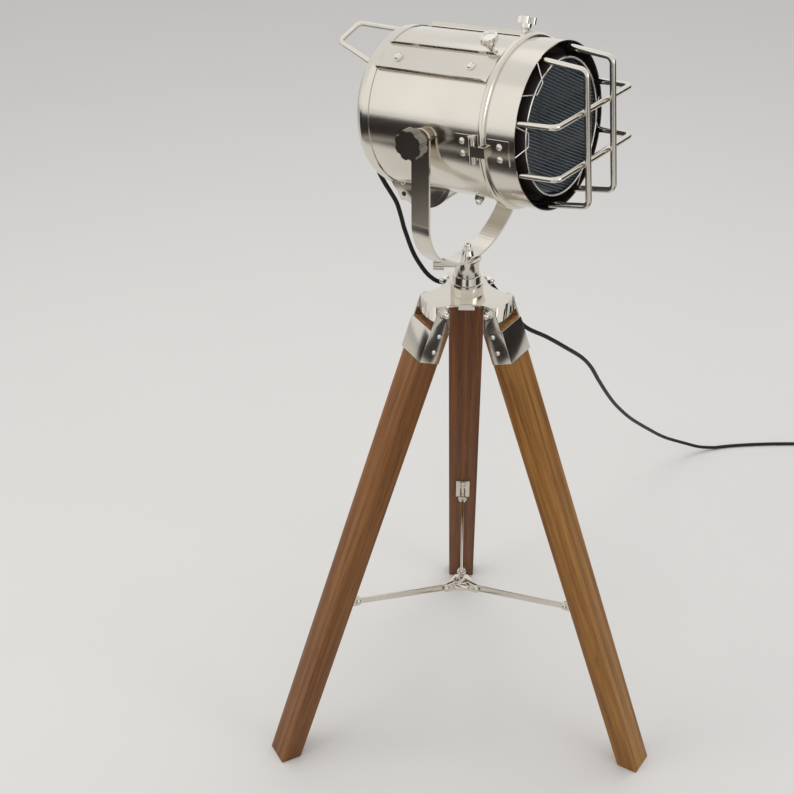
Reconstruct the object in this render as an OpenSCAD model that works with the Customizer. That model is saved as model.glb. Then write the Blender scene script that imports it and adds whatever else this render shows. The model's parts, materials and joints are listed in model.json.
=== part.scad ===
// Tripod spotlight floor lamp: a nickel-plated drum spotlight in a U yoke, on a folding wooden tripod.
// Millimetres, +Z up. The floor is z = 0 and the post's axis is x = y = 0. One leg points along +Y.

/* [Tripod] */
// Height of the leg hinge bolts above the floor
bolt_z = 716; // [600:1:800]
// Distance of the leg hinge bolts from the post's axis
bolt_r = 51; // [48:1:60]
// Lean of the legs from the vertical, in degrees
leg_lean = 20.2; // [16:0.1:24]
// Width of a leg under its bracket
leg_top_w = 50.4; // [45:0.2:60]
// Width of a leg at its foot
leg_foot_w = 42; // [35:1:55]
// Thickness of a leg
leg_t = 30; // [24:1:36]
// Thickness of the bracket plates on the legs
plate_t = 2; // [2:0.5:3]
// Length of the bracket plates along a leg
bracket_l = 48; // [40:1:60]

/* [Hub and post] */
// Radius of the hub's three lobes
lobe_r = 64; // [61:1:68]
// Thickness of the hub plate
hub_t = 3; // [2:0.5:4]
// Depth of the skirts under the lobes
skirt_h = 20; // [10:1:22]
// Radius of the post's tube
post_r = 16.5; // [15:0.5:20]
// Height of the post above the hub plate
post_h = 53; // [46:1:58]

/* [Brace] */
// Distance of the brace pins below the hinge bolts, along a leg
brace_drop = 482.5; // [400:0.5:500]
// Distance of the brace pins from a leg's inner face
brace_stand = 20.4; // [18:0.5:24]
// Radius of the brace hub's pins
brace_hub_r = 27; // [26:0.5:32]
// Height of the brace hub's pins above the floor
brace_hub_z = 217; // [200:1:230]
// Depth of the flat brace arms
arm_h = 10; // [8:0.5:12]
// Thickness of the flat brace arms
arm_t = 3.2; // [2.5:0.1:4]

/* [Yoke] */
// Space between the drum and each arm of the yoke
yoke_gap = 5.2; // [4.5:0.1:10]
// Width of the yoke's strap
strap_w = 27; // [20:1:32]
// Thickness of the yoke's strap
strap_t = 3.5; // [3:0.5:5]
// Space between the drum and the bottom of the yoke
yoke_space = 100; // [92:1:116]
// Radius of the yoke's wide bottom bend beyond half its width
bottom_more = 21; // [12:1:30]
// Radius of the bends up into the arms, short of half the yoke's width
corner_less = 34; // [24:1:48]

/* [Head] */
// Turn of the head and yoke about the post, clockwise seen from above, in degrees
head_turn = 33.7; // [0:0.1:90]
// Tilt of the head, front end up, in degrees
head_tilt = 4.9; // [-10:0.1:10]
// Outside radius of the drum
drum_r = 102; // [90:1:104]
// Thickness of the sheet metal
sheet_t = 1.2; // [1:0.1:2]
// Distance from the pivot back to the drum's rear seam
drum_back = 91.6; // [86:0.2:100]
// Distance from the pivot forward to the drum's front edge
drum_front = 79.9; // [78:0.1:85]
// Depth of the dished rear cap behind the seam
cap_h = 21; // [15:1:30]
// Length of the hood in front of the drum
hood_l = 53.1; // [44:0.1:60]
// Height of the bead ring above the hood
bead_h = 5.6; // [4:0.2:6]
// Radius of the round lens
lens_r = 80; // [68:1:82]
// Radius of the fluted tilt knobs
knob_r = 19.5; // [14:0.5:20]

/* [Guard] */
// Radius of the guard's wires
guard_wire_r = 4; // [2:0.1:4.4]
// Distance of the level wires' front from the pivot
guard_front = 183; // [160:1:200]
// Distance of the upright wires from the drum's axis
guard_side = 31; // [30:1:50]
// Distance of the level wires above and below the drum's axis
guard_level = 32; // [20:1:45]

/* [Cord] */
// Diameter of the cord
cord_d = 6.4; // [5:0.1:8]
// Turns of the stored coil
coil_turns = 3; // [2:1:5]
// Radius of the stored coil, to the middle of the cord
coil_r = 38; // [30:1:60]
// Rise of the coil for each turn
coil_pitch = 7.2; // [7:0.1:9]

/* [Hidden] */
$fn = 64;
nickel = [0.80, 0.77, 0.70];
dark_nickel = [0.62, 0.60, 0.56];
teak = [0.50, 0.30, 0.14];
rear_teak = [0.36, 0.17, 0.09];
black = [0.03, 0.03, 0.03];
glass_blue = [0.05, 0.08, 0.11];
hood_brown = [0.10, 0.07, 0.06];
leg_turns = [210, 330, 90];

run_gap = 0.06;          // radial running clearance on every hinge pin and spindle
seat_gap = 0.3;          // gap between faces on different bodies
bolt_shank_r = 4;        // shank of the hinge and pivot bolts
wood_back = 5.5 + leg_t / 2;           // from a hinge bolt in to a leg's inner face
wood_front = leg_t - wood_back;        // from a hinge bolt out to a leg's outer face
wood_top = 24;                         // a leg's top end below its hinge bolt
plate_half = leg_top_w / 2 + plate_t;  // half the width over a bracket's side plates
plate_low = wood_top + 3 + bracket_l;  // a bracket's lower edge below its hinge bolt
notch_r = 37;                          // notches between the hub's lobes, from the post's axis
leg_l = bolt_z / cos(leg_lean) + 2 * leg_t;
hub_top = bolt_z + 9;
lobe_half = leg_top_w / 2 - seat_gap - 0.1;
barrel_r = 6;
post_top = hub_top + post_h;
collar_h = 17;                         // lower step of the post's collar
step_h = 11;                           // upper step of the post's collar
clamp_h = 3;                           // clamp collar at the post's top
clamp_r = 19;
spindle_r = 10;
pan_screw_z = post_top - 13;
brace_pin_r = 3;
ear_gap = arm_t + 2 * seat_gap;        // space between the ears of each clevis
ear_t = 2.4;
brace_x = -wood_back - brace_stand;    // brace pin from the hinge bolt, across the leg
pin_r_world = bolt_r + brace_x * cos(leg_lean) + brace_drop * sin(leg_lean);
pin_z_world = bolt_z + brace_x * sin(leg_lean) - brace_drop * cos(leg_lean);
yoke_r = drum_r + yoke_gap + strap_t / 2;     // from the post's axis to the middle of an arm
bottom_r = yoke_r + bottom_more;
corner_r = yoke_r - corner_less;
strap_in = yoke_r - strap_t / 2;
strap_out = yoke_r + strap_t / 2;
yoke_z = post_top + seat_gap + strap_t / 2;   // middle of the strap above the floor, at the post
pivot_z = yoke_z + drum_r + yoke_space;
side_turn = asin((yoke_r - corner_r) / (bottom_r - corner_r));   // turn of the bottom bend on each side
arm_z = yoke_z + bottom_r - (bottom_r - corner_r) * cos(side_turn);   // lower end of the straight arms
nut_r = 9;
nut_seat = yoke_z + bottom_r - sqrt(pow(bottom_r - strap_t / 2, 2) - nut_r * nut_r);   // rim on the curved strap
stop_turn = 23;                        // the yoke's stop screw, round the bend towards the near arm
hood_back = drum_front + seat_gap;
hood_front = hood_back + hood_l;
hood_r = drum_r + 2.5;
bead_x = hood_back + 7;
lens_x = hood_back + 17;
hinge_x = 76.5;                        // hood hinge pin, forward of the pivot
hinge_r = drum_r + 7;                  // hood hinge pin from the drum's axis
hinge_drop = 4;                        // middle of the hood hinge below the drum's axis
knuckle_h = 32;
knuckle_l = 9;                          // length of each outer knuckle
bulb_neck = 13.4;
bulb_r = 30;
rail_turn = 36;                        // each rail's turn from the top of the drum
rail_w = 41;
rail_h = 6.5;
screw_turn = 20.7;                     // each top thumbscrew's turn from the top of the drum
rail_bolt_x = [-62, 47.6];
top_screw_x = 63.7;
handle_z = drum_r - 15;                // the rear handle's feet from the drum's axis
handle_wire_r = 3.6;
handle_half = 39;                      // half the space between the rear handle's feet
handle_rise = 14;                      // the rear handle's slant, in degrees
handle_turn = 16;                      // the rear handle's turn from the top towards the near side
box_x = -57;                           // middle of the half-round housing under the drum
box_r = 52;
box_z = 30 - drum_r;                   // the housing's middle from the drum's axis
box_half = 42;                         // half the housing's width between its side plates
under_nut_at = [43, 29];               // forward of the pivot, and turned from the bottom to the near side
hood_screws = [[-14, 111], [126, 115.5], [246, 113]];   // each one's turn from the top, and its place along X
leaf_screw_x = [57.6, 113];            // on the drum and on the hood
dish_r = drum_r - 14.4;                // the reflector's rim
dish_neck_r = 22;
cord_r = cord_d / 2;
coil_at = [800, 700];
coil_z = cord_r + 1.4;                 // lowest turn, on the tie's band
tie_h = coil_z + coil_pitch * (coil_turns - 0.5) + cord_r + 1.2;
plug_r = 11;
plug_at = [102, 16];                   // the plug's cord end, from the coil's middle
coil_out = [[20, 39, 26.6], [45, 38, 21], [66, 33, 12], [85, 25, 10.5], [plug_at.x, plug_at.y, plug_r]];

// cord routes, end to end: head to yoke, yoke to clip, clip to floor, along the floor
cord_hang = [[-115, 41, 910], [-119.5, 43.5, 908], [-123, 46, 900.5], [-123.5, 47, 890.5], [-121, 46.5, 880],
    [-114, 47, 865], [-106, 49, 850], [-98, 52, 833], [-92.5, 53.5, 813], [-89, 54.5, 797]];
cord_drop = [[-88.9, 54.5, 796.5], [-86, 55, 787], [-80, 57, 767], [-74, 60, 750], [-66, 63, 734], [-58, 65, 721],
    [-50, 67.5, 711.5], [-41, 70.2, 704.5], [-30, 73.5, 701.6], [-15, 78, 702.8], [-0.4, 81.9, 704]];
cord_run = [[0, 82, 704], [16, 86.3, 704.2], [32, 91, 694], [48, 97, 670], [67, 104, 640], [88, 110, 611],
    [122, 140, 578], [155, 175, 540], [183, 213, 502], [202, 245, 466], [220, 285, 418], [244, 345, 354],
    [268, 403, 296], [304, 480, 223], [350, 570, 144], [395, 640, 80], [446, 690, 34], [480, 710, 13],
    [513, 722, 4.2]];
cord_floor = [[513, 722, 4.2], [540, 730, 3.2], [585, 737, 3.2], [640, 742, 3.2], [700, 744, 3.2],
    [750, 742.5, 3.4], [782, 739.5, 4.2], [800, 738, 4.6]];

// ---- small shared shapes ----

// round bar along X, from x0, and along Y, from y0
module rod_x(x0, l, r) translate([x0, 0, 0]) rotate([0, 90, 0]) cylinder(r = r, h = l);
module rod_y(y0, l, r) translate([0, y0, 0]) rotate([-90, 0, 0]) cylinder(r = r, h = l);

// flat plate across X from its outline in Y and Z, and across Y from its outline in X and Z
module plate_x(x0, t) translate([x0, 0, 0]) rotate([90, 0, 90]) linear_extrude(t) children();
module plate_y(y0, t) translate([0, y0 + t, 0]) rotate([90, 0, 0]) linear_extrude(t) children();

// acorn nut standing on z = 0, s across its dome
module acorn(s) {
    cylinder(r = s * 0.58, h = s * 0.42, $fn = 6);
    translate([0, 0, s * 0.42]) cylinder(r = s * 0.44, h = s * 0.12);
    translate([0, 0, s * 0.54]) sphere(r = s * 0.4, $fn = 32);
}

// dome-headed screw on z = 0
module dome_screw(r) intersection() {
    translate([0, 0, -r * 0.55]) sphere(r = r * 1.14, $fn = 32);
    cylinder(r = r, h = r);
}

// tube along a list of points, its end faces closed; side is a direction that the path never takes
module tube(pts, r, sides, side) {
    n = len(pts);
    rings = [for (i = [0 : n - 1])
        let (t = pts[min(i + 1, n - 1)] - pts[max(i - 1, 0)],
            u = cross(t, side) / norm(cross(t, side)), v = cross(t, u) / norm(cross(t, u)))
        for (k = [0 : sides - 1]) pts[i] + r * (cos(k * 360 / sides) * u + sin(k * 360 / sides) * v)];
    walls = [for (i = [0 : n - 2]) for (k = [0 : sides - 1])
        let (a = i * sides + k, b = i * sides + (k + 1) % sides)
        each [[a, b, b + sides], [a, b + sides, a + sides]]];
    ends = [for (k = [1 : sides - 2])
        each [[0, k + 1, k], [(n - 1) * sides, (n - 1) * sides + k, (n - 1) * sides + k + 1]]];
    polyhedron(points = rings, faces = concat(walls, ends));
}

// points of the round bend of radius r at corner b of the path a, b, c
function bend(a, b, c, r, n = 5) =
    let (u = (a - b) / norm(a - b), v = (c - b) / norm(c - b), w = acos(u * v), s = 180 - w,
        m = b + (u + v) / norm(u + v) * r / sin(w / 2), p = b + u * r / tan(w / 2) - m, q = b + v * r / tan(w / 2) - m)
    [for (i = [0 : n]) m + (sin(s * (1 - i / n)) * p + sin(s * i / n) * q) / sin(s)];

// bent wire in the X and Y plane through corner points, its corners rounded to radius bend_r
module wire(pts, r, bend_r, sides = 12) {
    p = [for (q = pts) [q.x, q.y, 0]];
    n = len(p) - 1;
    tube(concat([p[0]], [for (i = [1 : n - 1]) each bend(p[i - 1], p[i], p[i + 1], bend_r)], [p[n]]),
        r, sides, [0, 0, 1]);
}

// smooth curve through a list of points, in parts of the given count
function spline(p, parts) = [for (i = [0 : len(p) - 2]) for (k = [0 : parts - (i == len(p) - 2 ? 0 : 1)])
    let (t = k / parts, a = p[max(i - 1, 0)], b = p[i], c = p[i + 1], d = p[min(i + 2, len(p) - 1)])
    0.5 * (2 * b + (c - a) * t + (2 * a - 5 * b + 4 * c - d) * t * t + (3 * b - a - 3 * c + d) * t * t * t)];

function path_len(p) = [for (i = [1 : len(p) - 1]) norm(p[i] - p[i - 1])] * [for (i = [1 : len(p) - 1]) 1];

// ---- places ----

// origin at a leg's hinge bolt, X out across the leg, Y along the bolt, Z up the leg
module at_leg(turn) rotate([0, 0, turn]) translate([bolt_r, 0, bolt_z]) rotate([0, -leg_lean, 0]) children();

// origin on the post's axis, turned with the yoke: X forward, Y to the far side
module at_yoke() rotate([0, 0, -head_turn]) children();

// origin on the drum's axis at the pivot, tilted with the head: X forward, Y to the far side
module at_head() at_yoke() translate([0, 0, pivot_z]) rotate([0, -head_tilt, 0]) children();

// ---- tripod ----

module lobes(half, r) for (turn = leg_turns) rotate(turn) intersection() {
    circle(r = r, $fn = 128);
    polygon([[-1, 0], [notch_r * cos(60), -notch_r * sin(60)], [bolt_r - 10, -half], [r, -half], [r, half],
        [bolt_r - 10, half], [notch_r * cos(60), notch_r * sin(60)]]);
}

module hub_plate() color(nickel) difference() {
    union() {
        translate([0, 0, hub_top - hub_t]) linear_extrude(hub_t) lobes(lobe_half, lobe_r);
        translate([0, 0, hub_top - hub_t - skirt_h]) linear_extrude(skirt_h + 0.01) difference() {
            lobes(lobe_half, lobe_r);
            circle(r = lobe_r - 2.2, $fn = 128);
        }
        for (turn = leg_turns) rotate(turn) {
            translate([bolt_r, 0, bolt_z]) rod_y(-lobe_half, 2 * lobe_half, barrel_r);
            translate([bolt_r - barrel_r, -lobe_half, bolt_z]) cube([2 * barrel_r, 2 * lobe_half, 7]);
        }
        for (turn = leg_turns) rotate(turn + 60)
            translate([notch_r - 9, -11, hub_top - 9]) cube([10, 22, 9]);
    }
    for (turn = leg_turns) rotate(turn) translate([bolt_r, 0, bolt_z])
        rod_y(-lobe_half - 1, 2 * lobe_half + 2, bolt_shank_r + run_gap);
    translate([0, 0, hub_top - hub_t - 1]) cylinder(r = spindle_r - 3, h = hub_t + 2);
}

module post() color(nickel) difference() {
    union() {
        translate([0, 0, hub_top]) cylinder(r = post_r + 6, h = collar_h);
        translate([0, 0, hub_top]) cylinder(r = post_r + 3, h = collar_h + step_h);
        translate([0, 0, hub_top]) cylinder(r = post_r, h = post_h);
        translate([0, 0, post_top - clamp_h]) cylinder(r = clamp_r, h = clamp_h);
    }
    translate([0, 0, hub_top + 8]) cylinder(r = spindle_r + run_gap, h = post_h);
    translate([0, 0, pan_screw_z]) rod_x(-clamp_r - 1, clamp_r, 3 + run_gap);
}

// ring round the cord behind the hub, on a tab from the rear lobe
module cord_clip() color(dark_nickel) let (a = cord_run[0], d = (cord_run[1] - a) / norm(cord_run[1] - a)) {
    translate(a + 0.5 * d) rotate([0, acos(d.z), atan2(d.y, d.x)]) difference() {
        cylinder(r = cord_r + 2.4, h = 6);
        translate([0, 0, -1]) cylinder(r = cord_r, h = 8);
    }
    translate([0, lobe_r, a.z - 2.5]) cube([6, a.y - lobe_r - cord_r - 0.4, 3]);
}

module pan_screw() color(nickel) translate([0, 0, pan_screw_z]) {
    rod_x(-35.5, 35.5 - spindle_r - run_gap - seat_gap, 3);
    difference() {
        rod_x(-46.5, 15, 7);
        for (a = [0 : 30 : 330]) rotate([a, 0, 0]) translate([-47.5, 0, 7.8]) rod_x(0, 17, 1.4);
    }
}

module leg(turn, wood) color(wood) at_leg(turn) difference() {
    plate_x(-wood_back, leg_t) polygon([[-leg_top_w / 2, -wood_top], [leg_top_w / 2, -wood_top],
        [leg_foot_w / 2, -leg_l], [-leg_foot_w / 2, -leg_l]]);
    // cut level at the floor
    rotate([0, leg_lean, 0]) translate([-bolt_r, -leg_top_w, -bolt_z - 100])
        cube([bolt_r + 400, 2 * leg_top_w, 100]);
}

module leg_plates(turn) color(nickel) at_leg(turn) {
    plate_x(wood_front, plate_t) translate([-plate_half, -plate_low]) square([2 * plate_half, bracket_l]);
    for (side = [0, 1]) mirror([0, side, 0]) difference() {
        plate_y(leg_top_w / 2, plate_t) union() {
            polygon([[-wood_back + 1, -plate_low], [wood_front, -plate_low], [wood_front, -plate_low + bracket_l],
                [9, 3], [-9, 3], [-wood_back + 1, -plate_low + bracket_l]]);
            circle(r = 9.5);
        }
        rod_y(leg_top_w / 2 - 1, plate_t + 2, bolt_shank_r);
    }
}

// the hinge bolt with its two acorn nuts, and the screws of the side plates
module leg_bolts(turn) color(nickel) at_leg(turn) {
    rod_y(-plate_half - 2, 2 * plate_half + 4, bolt_shank_r);
    for (side = [0, 1]) mirror([0, side, 0]) {
        translate([0, plate_half, 0]) rotate([-90, 0, 0]) {
            cylinder(r = 7.5, h = 1.4);
            translate([0, 0, 1.4]) acorn(11);
        }
        for (down = [10, 34]) translate([-5.5, plate_half, -wood_top - down]) rotate([-90, 0, 0]) dome_screw(3.6);
    }
}

// clevis ear in the X and Z plane: a round end at the origin on a root reaching to x = reach
module ear(reach, r) hull() {
    circle(r = r, $fn = 32);
    translate([reach - 1, -r - 4]) square([1, 2 * r + 8]);
}

module leg_bracket(turn) color(nickel) at_leg(turn) {
    translate([brace_x, 0, -brace_drop]) for (side = [0, 1]) mirror([0, side, 0]) {
        plate_y(ear_gap / 2, ear_t) ear(brace_stand, 6);
        translate([0, ear_gap / 2 + ear_t, 0]) rotate([-90, 0, 0]) dome_screw(4.5);
    }
    translate([brace_x + brace_stand - 2.4, -11, -brace_drop - 20]) cube([2.4, 22, 44]);
    translate([brace_x, 0, -brace_drop]) rod_y(-ear_gap / 2 - ear_t, ear_gap + 2 * ear_t, brace_pin_r);
    for (up = [16, -14]) translate([brace_x + brace_stand - 2.4, 0, -brace_drop + up])
        rotate([0, -90, 0]) dome_screw(3.6);
}

module brace_arm(turn) color(nickel) rotate([0, 0, turn]) difference() {
    plate_y(-arm_t / 2, arm_t) hull() {
        translate([pin_r_world, pin_z_world]) circle(r = arm_h / 2, $fn = 32);
        translate([brace_hub_r, brace_hub_z]) circle(r = arm_h / 2, $fn = 32);
    }
    translate([pin_r_world, 0, pin_z_world]) rod_y(-arm_t, 2 * arm_t, brace_pin_r + run_gap);
    translate([brace_hub_r, 0, brace_hub_z]) rod_y(-arm_t, 2 * arm_t, brace_pin_r + run_gap);
}

module brace_hub() color(nickel) {
    translate([0, 0, brace_hub_z - 3]) linear_extrude(6) difference() {
        circle(r = 19, $fn = 6);
        for (turn = leg_turns) rotate(turn) translate([10, -ear_gap / 2]) square([20, ear_gap]);
    }
    for (turn = leg_turns) rotate([0, 0, turn]) for (side = [0, 1]) mirror([0, side, 0])
        plate_y(ear_gap / 2, ear_t) hull() {
            translate([brace_hub_r, brace_hub_z]) circle(r = 6, $fn = 32);
            translate([11, brace_hub_z - 8]) square([1, 16]);
        }
}

module brace_screws() color(nickel) for (turn = leg_turns) rotate([0, 0, turn])
    translate([brace_hub_r, 0, brace_hub_z]) for (side = [0, 1]) mirror([0, side, 0])
        translate([0, ear_gap / 2 + ear_t, 0]) rotate([-90, 0, 0]) dome_screw(4.5);

// ---- yoke ----

// one side of the strap's line at a distance from its middle, from the post out to the arm
function strap_line(off) = concat(
    [for (a = [0 : side_turn / 16 : side_turn + 0.001])
        [(bottom_r + off) * sin(a), yoke_z + bottom_r - (bottom_r + off) * cos(a)]],
    [for (i = [1 : 20]) let (a = side_turn + (90 - side_turn) * i / 20)
        [yoke_r - corner_r + (corner_r + off) * sin(a), arm_z - (corner_r + off) * cos(a)]]);

module yoke() color(nickel) at_yoke() difference() {
    union() {
        for (side = [0, 1]) mirror([0, side, 0]) {
            plate_x(-strap_w / 2, strap_w) polygon(concat(strap_line(strap_t / 2),
                [for (p = [len(strap_line(0)) - 1 : -1 : 0]) strap_line(-strap_t / 2)[p]]));
            plate_y(strap_in, strap_t) union() {
                translate([-strap_w / 2, arm_z]) square([strap_w, pivot_z - arm_z]);
                translate([0, pivot_z]) circle(r = strap_w / 2);
            }
        }
    }
    translate([0, 0, pivot_z]) rod_y(-strap_out - 1, 2 * strap_out + 2, bolt_shank_r + run_gap);
    translate([0, 0, yoke_z - strap_t]) cylinder(r = 5, h = 2 * strap_t);
}

module spindle() color(dark_nickel) {
    translate([0, 0, hub_top + 10]) cylinder(r = spindle_r, h = yoke_z - strap_t / 2 - hub_top - 10);
    translate([0, 0, yoke_z - strap_t]) cylinder(r = 5, h = 2 * strap_t + 1);
}

module yoke_nut() color(nickel) {
    translate([0, 0, nut_seat]) difference() {
        cylinder(r1 = nut_r, r2 = nut_r - 2, h = 6);
        translate([0, 0, -1]) cylinder(r = 5, h = 5);
    }
    translate([0, 0, nut_seat + 6]) acorn(12);
}

module yoke_stop() color(nickel) at_yoke()
    translate([-5, 0, yoke_z + bottom_r]) rotate([-stop_turn, 0, 0])
        translate([0, 0, strap_t / 2 + 0.1 - bottom_r]) dome_screw(4);

// ---- head ----

// sheet drum section along X
module shell(x0, x1, r, t) difference() {
    translate([x0, 0, 0]) rotate([0, 90, 0]) cylinder(r = r, h = x1 - x0, $fn = 160);
    translate([x0 - 1, 0, 0]) rotate([0, 90, 0]) cylinder(r = r - t, h = x1 - x0 + 2, $fn = 160);
}

// solid of revolution about X from an outline of [radius, x] points
module turned() rotate([90, 0, 90]) rotate_extrude($fn = 128) children();

module drum() color(nickel) at_head() difference() {
    shell(-drum_back, drum_front, drum_r, sheet_t);
    rod_y(-drum_r - 1, 2 * drum_r + 2, bolt_shank_r);
}

// the cap's outline: a short lip over the drum and a flat back with a round edge
function cap_outline(r, back, edge) = concat([[r, -drum_back + 5]],
    [for (a = [0 : 15 : 90]) [r - edge + edge * cos(a), -back + edge - edge * sin(a)]]);

module rear_cap() color(nickel) at_head() turned() polygon(concat(
    cap_outline(drum_r + sheet_t, drum_back + cap_h, 17), [[0, -drum_back - cap_h - 1.5]],
    [[0, -drum_back - cap_h - 1.5 + sheet_t]],
    [for (p = [7 : -1 : 0]) cap_outline(drum_r, drum_back + cap_h - sheet_t, 16)[p]]));

// bent wire handle on the cap, its feet on the rounded edge
module rear_handle() color(nickel) at_head() rotate([handle_turn, 0, 0])
    translate([-drum_back - cap_h + 2.6, 0, handle_z]) rotate([0, handle_rise, 0])
        wire([[0, handle_half], [-56, handle_half - 16], [-56, 16 - handle_half], [0, -handle_half]],
            handle_wire_r, 8);

// channel rail along the drum, its flanges standing out from the drum and slanted at their ends
module rail(side) color(nickel) at_head() rotate([side * rail_turn, 0, 0]) translate([0, 0, drum_r]) {
    l0 = -drum_back + 5.6;
    l1 = drum_front - 0.5;
    translate([l0, -rail_w / 2, 0]) cube([l1 - l0, rail_w, 1.6]);
    for (y = [-rail_w / 2, rail_w / 2 - 1.6]) plate_y(y, 1.6)
        polygon([[l0, 0], [l1, 0], [l1 - rail_h, rail_h], [l0 + 1, rail_h]]);
}

module rail_bolts() color(nickel) at_head() for (side = [-1, 1]) rotate([side * rail_turn, 0, 0])
    for (x = rail_bolt_x) translate([x, 0, drum_r + 1.6]) {
        cylinder(r = 6.6, h = 2);
        translate([0, 0, 2]) dome_screw(5.4);
    }

module thumbscrew() {
    cylinder(r = 6.5, h = 3);
    cylinder(r = 3.6, h = 18);
    translate([0, 0, 9]) cylinder(r = 6.2, h = 8);
    difference() {
        translate([0, 0, 16]) cylinder(r = 11.5, h = 8);
        for (a = [0 : 20 : 340]) rotate(a) translate([11.9, 0, 15]) cylinder(r = 1.1, h = 10, $fn = 16);
    }
}

// thumbscrew on top of the drum, turned towards the near side (1) or the far side (-1)
module top_screw(side) color(nickel) at_head() rotate([side * screw_turn, 0, 0])
    translate([top_screw_x, 0, drum_r + seat_gap]) thumbscrew();

module housing() color(nickel) at_head() difference() {
    translate([box_x, 0, box_z]) union() {
        rod_y(-box_half, 2 * box_half, box_r);
        rod_y(-box_half - 1.5, 2 * box_half + 3, box_r - 6);
    }
    translate([-200, 0, 0]) rotate([0, 90, 0]) cylinder(r = drum_r, h = 400, $fn = 160);
    turned() polygon(concat([[0, -drum_back + 5.2]], cap_outline(drum_r + sheet_t + 0.1, drum_back + cap_h + 0.1, 17),
        [[0, -drum_back - cap_h]]));
    translate([box_x - 60, -60, -60]) cube([120, 120, 100]);
}

module under_nut() color(nickel) at_head() rotate([-under_nut_at.y, 0, 0]) translate([under_nut_at.x, 0, -drum_r])
    rotate([180, 0, 0]) acorn(12);

module pivot_bolts() color(nickel) at_head() for (side = [0, 1])
    mirror([0, side, 0]) {
        rod_y(drum_r - 7, strap_out - drum_r + 22, bolt_shank_r);
        rod_y(drum_r - 8, 4.6, 7);
        difference() {
            rod_y(drum_r - 4, strap_in - drum_r + 4 - seat_gap, 9);
            rod_x(-20, 40, drum_r);
        }
    }

module knob(side) color(dark_nickel) at_head() mirror([0, side, 0]) difference() {
    union() {
        translate([0, strap_out + seat_gap, 0]) rotate([-90, 0, 0]) cylinder(r = 9.5, h = 11, $fn = 6);
        difference() {
            rod_y(strap_out + 11, 15.5, knob_r);
            for (a = [0 : 45 : 315]) rotate([0, a, 0]) translate([knob_r + 3, 0, 0])
                rod_y(strap_out + 10, 18, 5);
        }
    }
    rod_y(strap_out - 1, 18, bolt_shank_r + run_gap);
}

// point i of 8 on the reflector's curve, from its neck out to its rim
function dish_point(i) = let (r = dish_neck_r + (dish_r - dish_neck_r) * i / 8)
    [r, drum_front - 11.3 - (dish_r * dish_r - r * r) / 72];

module reflector() color([0.85, 0.85, 0.85]) at_head() turned() polygon(concat(
    [for (i = [0 : 8]) dish_point(i)],
    [[drum_r - sheet_t, dish_point(8).y], [drum_r - sheet_t, dish_point(8).y + sheet_t],
        [dish_r - 0.6, dish_point(8).y + sheet_t]],
    [for (i = [8 : -1 : 0]) dish_point(i) + [-0.9, 1]]));

module lamp_holder() color([0.12, 0.12, 0.12]) at_head() {
    rod_x(-drum_back - cap_h, 50, 9);
    rod_x(-66, 34, 21);
    translate([-48, 0, 0]) rotate([0, 90, 0]) cylinder(r = 25, h = 4);
}

module bulb() color([0.92, 0.90, 0.86]) at_head() turned() polygon(concat([[0, -32], [bulb_neck, -32]],
    [for (a = [-60 : 15 : 75]) [bulb_r * cos(a), 18 + bulb_r * sin(a)]], [[0, 18 + bulb_r]]));

// hinge leaf bent to the drum: a patch of shell between two x values, k screws on it
module leaf(x0, x1, r) intersection() {
    shell(x0, x1, r, 1.5);
    translate([x0, -r - 5, -hinge_drop - knuckle_h / 2]) cube([x1 - x0, 40, knuckle_h]);
}

module leaf_screws(x, r) for (up = [-8, 8]) let (z = up - hinge_drop)
    rotate([90 + asin(-z / r), 0, 0]) translate([x, 0, r - 0.2]) dome_screw(4.4);

module at_hinge() translate([hinge_x, -hinge_r, -hinge_drop]) children();

module body_leaf() color(nickel) at_head() {
    leaf(48, hinge_x - 4, drum_r + 1.5);
    leaf_screws(leaf_screw_x[0], drum_r + 1.5);
    at_hinge() for (z = [-knuckle_h / 2, knuckle_h / 2 - knuckle_l]) translate([0, 0, z]) difference() {
        union() {
            cylinder(r = 4.5, h = knuckle_l);
            translate([-8, 0, 0]) cube([8, 9, knuckle_l]);
        }
        translate([0, 0, -1]) cylinder(r = 2.3, h = knuckle_l + 2);
        translate([-20, hinge_r, hinge_drop - z]) rod_x(0, 40, drum_r);
    }
}

module hinge_pin() color(nickel) at_head() at_hinge() {
    translate([0, 0, -knuckle_h / 2]) cylinder(r = 2.3, h = knuckle_h);
    for (z = [-knuckle_h / 2 - 1.5, knuckle_h / 2]) translate([0, 0, z]) cylinder(r = 3.4, h = 1.5);
}

module hood_leaf() color(nickel) at_head() let (h = knuckle_h - 2 * knuckle_l - 0.8) {
    leaf(hinge_x + 19, hinge_x + 49, hood_r + 1.5);
    leaf_screws(leaf_screw_x[1], hood_r + 1.5);
    at_hinge() difference() {
        union() {
            translate([0, 0, -h / 2]) cylinder(r = 4.5, h = h);
            translate([0, -4.5, -h / 2]) cube([20, 3, h]);
            translate([18, -4.5, -h / 2]) cube([2, 4.5 + hinge_r - hood_r, h]);
        }
        translate([0, 0, -7]) cylinder(r = 2.3 + run_gap, h = 14);
    }
}

module hood() color(nickel) at_head() {
    shell(hood_back, hood_front, hood_r, sheet_t);
    for (p = hood_screws) rotate([p[0], 0, 0]) translate([p[1], 0, hood_r - 0.2]) dome_screw(2.8);
}

module bead() color(nickel) at_head() turned() polygon(concat(
    [for (a = [0 : 15 : 180]) [hood_r + bead_h * sin(a), bead_x + 5 * cos(a)]]));

module lens_seat() color(hood_brown) at_head() {
    difference() {
        rod_x(lens_x, 1.2, hood_r - sheet_t);
        rod_x(lens_x - 1, 4, lens_r - 4);
    }
    difference() {
        rod_x(lens_x + 1.2, 7, lens_r + 4);
        rod_x(lens_x, 10, lens_r + 0.8);
    }
}

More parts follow.
